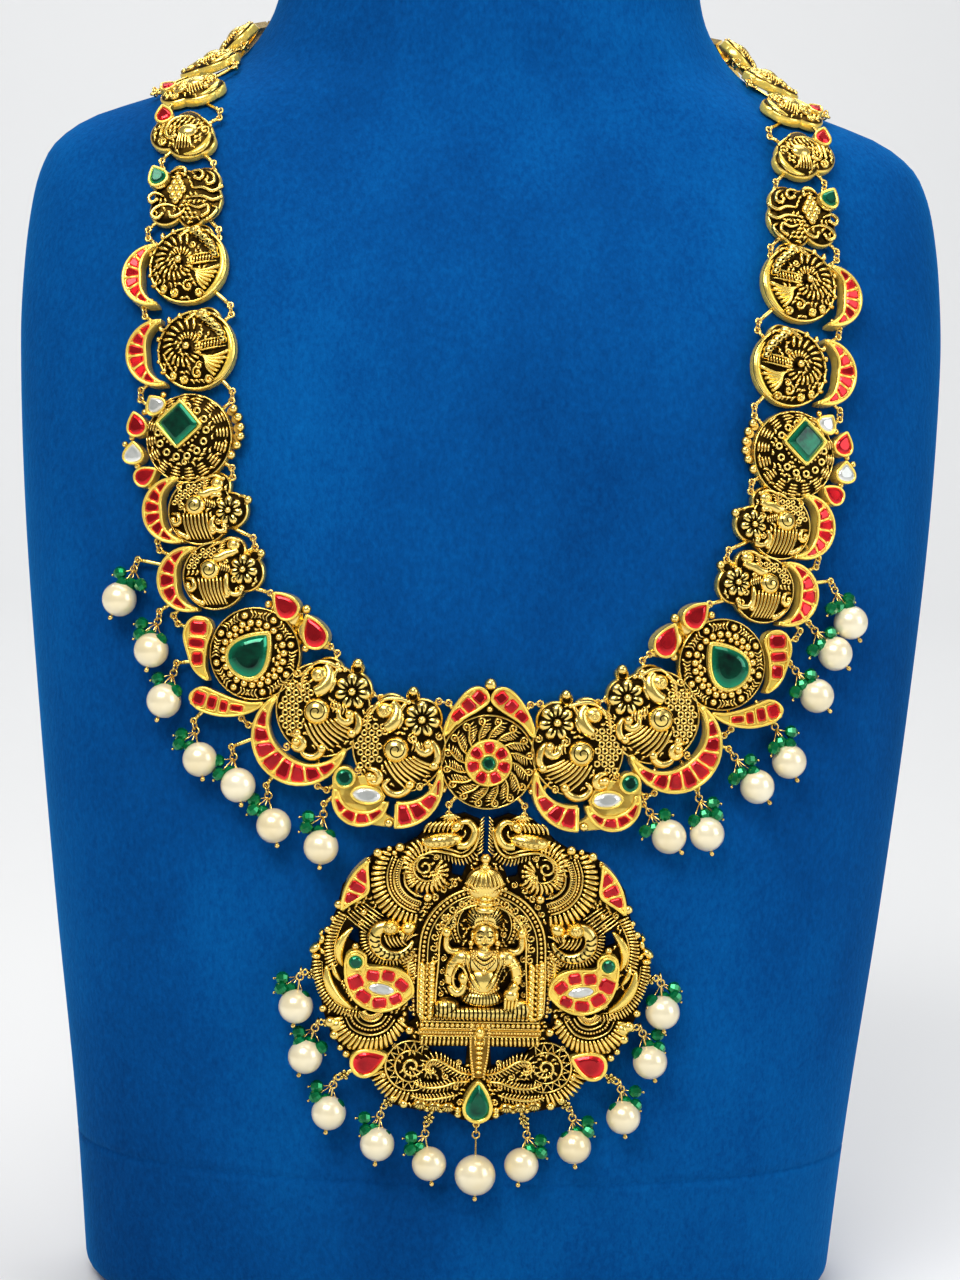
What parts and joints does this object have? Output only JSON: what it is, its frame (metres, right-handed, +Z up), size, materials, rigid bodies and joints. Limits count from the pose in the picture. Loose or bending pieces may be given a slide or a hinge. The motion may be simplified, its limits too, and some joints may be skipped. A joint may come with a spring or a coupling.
{
  "type": "kundan necklace on a neck bust",
  "caption": "Antique-gold kundan temple necklace with peacock links, ruby crescents, emeralds, pearl drops and a seated-deity pendant, shown on a blue velvet neck bust.",
  "frame": {"origin": "centre of the neck bust's flat base, in its middle plane", "axes": "+Z up, -Y towards the front of the chest where the pendant lies, +X to the viewer's right"},
  "size_m": [0.2248, 0.1272, 0.332],
  "materials": {
    "velvet": "royal blue pile velvet",
    "antique_gold": "antique gold plate, bright on high spots and dark in the recesses",
    "gold_wire": "polished gold plate",
    "emerald": "cut green stone",
    "ruby": "cut red stone, foil backed",
    "white_stone": "cut clear stone",
    "pearl": "cream pearl lustre"
  },
  "bodies": {
    "root": {"neck_bust": "velvet", "centre_disc": "antique_gold", "pendant": "antique_gold", "clasp": "antique_gold", "nape_links_left": "antique_gold", "nape_links_right": "antique_gold", "link_left_1": "antique_gold", "link_left_2": "antique_gold", "link_left_3": "antique_gold", "link_left_4": "antique_gold", "link_left_5": "antique_gold", "link_left_6": "antique_gold", "link_left_7": "antique_gold", "link_left_8": "antique_gold", "link_left_9": "antique_gold", "link_left_10": "antique_gold", "link_left_11": "antique_gold", "link_left_12": "antique_gold", "link_left_13": "antique_gold", "link_right_1": "antique_gold", "link_right_2": "antique_gold", "link_right_3": "antique_gold", "link_right_4": "antique_gold", "link_right_5": "antique_gold", "link_right_6": "antique_gold", "link_right_7": "antique_gold", "link_right_8": "antique_gold", "link_right_9": "antique_gold", "link_right_10": "antique_gold", "link_right_11": "antique_gold", "link_right_12": "antique_gold", "link_right_13": "antique_gold", "rings_left": "gold_wire", "rings_right": "gold_wire", "rings_pendant": "gold_wire", "pins_left": "gold_wire", "pins_right": "gold_wire", "pins_pendant": "gold_wire", "emerald_disc_left": "emerald", "emerald_disc_right": "emerald", "emerald_pear_left": "emerald", "emerald_pear_right": "emerald", "emerald_pendant": "emerald", "emerald_centre": "emerald", "emeralds_small": "emerald", "rubies_left": "ruby", "rubies_right": "ruby", "rubies_centre": "ruby", "rubies_pendant": "ruby", "white_stones": "white_stone", "pearls_left": "pearl", "pearls_right": "pearl", "pearls_pendant": "pearl"}
  },
  "joints": []
}
